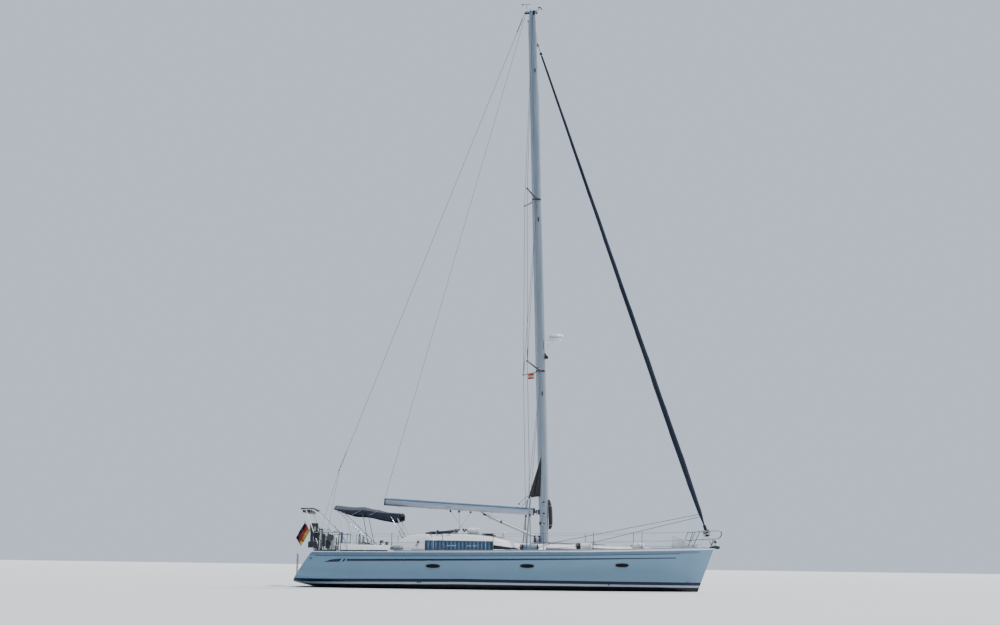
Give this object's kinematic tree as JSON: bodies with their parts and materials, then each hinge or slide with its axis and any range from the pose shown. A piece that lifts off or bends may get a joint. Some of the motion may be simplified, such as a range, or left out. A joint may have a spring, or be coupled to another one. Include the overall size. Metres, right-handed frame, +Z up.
{
  "type": "cruising sailing yacht",
  "caption": "Single-masted cruising yacht afloat with sails furled: decked fin-keel hull, deckhouse, twin wheels, hood over the cockpit, rails, swinging boom and hinged lids.",
  "frame": {"origin": "on the waterline amidships, in the plane of symmetry", "axes": "+X to the bow, +Y to port, +Z up the mast"},
  "size_m": [15.081, 4.49, 23.6683],
  "materials": {
    "hull_gelcoat": "gloss gelcoat",
    "deck_gelcoat": "satin gelcoat with non-skid",
    "teak": "weathered",
    "keel_antifouling": "matt",
    "rudder_antifouling": "matt",
    "drive_leg": "painted",
    "bronze": "worn",
    "spar": "satin anodised",
    "wire": "drawn",
    "sailcloth": "woven cover",
    "boom_paint": "satin",
    "white_plastic": "gloss",
    "steel_tube": "polished tube",
    "solar_glass": "dark cells under glass",
    "canvas": "woven",
    "wheel_rim": "polished",
    "steel_polished": "polished",
    "tinted_acrylic": "smoked",
    "green_paint": "satin",
    "fender_grey": "smooth",
    "fender_white": "smooth",
    "gangway_plank": "painted",
    "track_black": "satin",
    "bag_cloth": "woven",
    "window_glass": "dark tint",
    "engine_paint": "satin"
  },
  "bodies": {
    "hull": {"hull": "hull_gelcoat", "deck": "deck_gelcoat", "toe_rail_port": "teak", "toe_rail_starboard": "teak", "keel": "keel_antifouling", "sail_drive": "drive_leg", "mast": "spar", "spreaders_lower": "spar", "spreaders_upper": "spar", "cap_shroud_port": "wire", "cap_shroud_starboard": "wire", "lower_shroud_port": "wire", "lower_shroud_starboard": "wire", "forestay": "wire", "backstay": "wire", "backstay_leg_port": "wire", "backstay_leg_starboard": "wire", "radar_dome": "white_plastic", "radar_bracket": "spar", "guardrail_port": "steel_tube", "guardrail_starboard": "steel_tube", "pulpit": "steel_tube", "pushpit": "steel_tube", "stern_arch": "steel_tube", "solar_panel": "solar_glass", "bimini_canopy": "canvas", "bimini_frame": "steel_tube", "pedestal_port": "white_plastic", "pedestal_starboard": "white_plastic", "winch_port": "steel_polished", "winch_starboard": "steel_polished", "cockpit_table": "teak", "washboard": "tinted_acrylic", "windlass": "steel_polished", "bow_roller": "green_paint", "fender_aft": "fender_grey", "fender_waist": "fender_grey", "fender_fore": "fender_white", "fender_bow": "fender_white", "gangway": "gangway_plank", "sprayhood_folded": "canvas", "mainsheet_track": "track_black", "mast_bag": "bag_cloth", "window_port": "window_glass", "window_starboard": "window_glass", "outboard_motor": "white_plastic", "engine": "engine_paint"},
    "rudder": {"rudder": "rudder_antifouling"},
    "wheel_port": {"wheel_port": "wheel_rim"},
    "wheel_starboard": {"wheel_starboard": "wheel_rim"},
    "propeller": {"propeller": "bronze"},
    "boom": {"boom": "boom_paint", "vang": "boom_paint"},
    "furler": {"furled_headsail": "sailcloth"},
    "locker_lid": {"anchor_locker_lid": "deck_gelcoat"},
    "slide_hatch": {"companionway_hatch": "tinted_acrylic"},
    "saloon_hatch": {"saloon_hatch_lid": "tinted_acrylic"},
    "fore_hatch": {"fore_hatch_lid": "tinted_acrylic"},
    "ladder": {"swim_ladder": "steel_tube"}
  },
  "joints": [
    {"name": "rudder_turn", "type": "hinge", "parent": "hull", "child": "rudder", "pos_m": [-5.52, 0, 0], "axis": [0, 0, 1], "range_deg": [-35, 35]},
    {"name": "wheel_port_turn", "type": "hinge", "parent": "hull", "child": "wheel_port", "pos_m": [-5.06, 0.88, 1.44], "axis": [1, 0, 0], "range_deg": [-540, 540]},
    {"name": "wheel_starboard_turn", "type": "hinge", "parent": "hull", "child": "wheel_starboard", "pos_m": [-5.06, -0.88, 1.44], "axis": [1, 0, 0], "range_deg": [-540, 540]},
    {"name": "propeller_spin", "type": "hinge", "parent": "hull", "child": "propeller", "pos_m": [-3.17, 0, -0.96], "axis": [1, 0, 0], "continuous": true},
    {"name": "boom_swing", "type": "hinge", "parent": "hull", "child": "boom", "pos_m": [1.165, 0, 2.73], "axis": [-0.0311, 0, 0.9995], "range_deg": [-72, 72]},
    {"name": "furler_spin", "type": "hinge", "parent": "hull", "child": "furler", "pos_m": [7.44, 0, 1.549], "axis": [-0.3225, 0, 0.9466], "continuous": true},
    {"name": "locker_lid_close", "type": "hinge", "parent": "hull", "child": "locker_lid", "pos_m": [5.99984, 0.22503, 1.51199], "axis": [0.9862, -0.1644, 0.018], "range_deg": [0, 96]},
    {"name": "slide_hatch_open", "type": "slide", "parent": "hull", "child": "slide_hatch", "axis": [1, 0, 0], "range_m": [0, 0.55]},
    {"name": "saloon_hatch_open", "type": "hinge", "parent": "hull", "child": "saloon_hatch", "pos_m": [-0.3214, 0, 1.83265], "axis": [0, 1, 0], "range_deg": [0, 95]},
    {"name": "fore_hatch_open", "type": "hinge", "parent": "hull", "child": "fore_hatch", "pos_m": [3.61996, 0, 1.59], "axis": [0, 1, 0], "range_deg": [0, 95]},
    {"name": "ladder_fold", "type": "hinge", "parent": "hull", "child": "ladder", "pos_m": [-7.3, 0, 0.3], "axis": [0, -1, 0], "range_deg": [0, 155]}
  ],
  "couplings": [
    {"joint": "wheel_port_turn", "follows": "rudder_turn", "ratio": 15.42},
    {"joint": "wheel_starboard_turn", "follows": "rudder_turn", "ratio": 15.42}
  ]
}
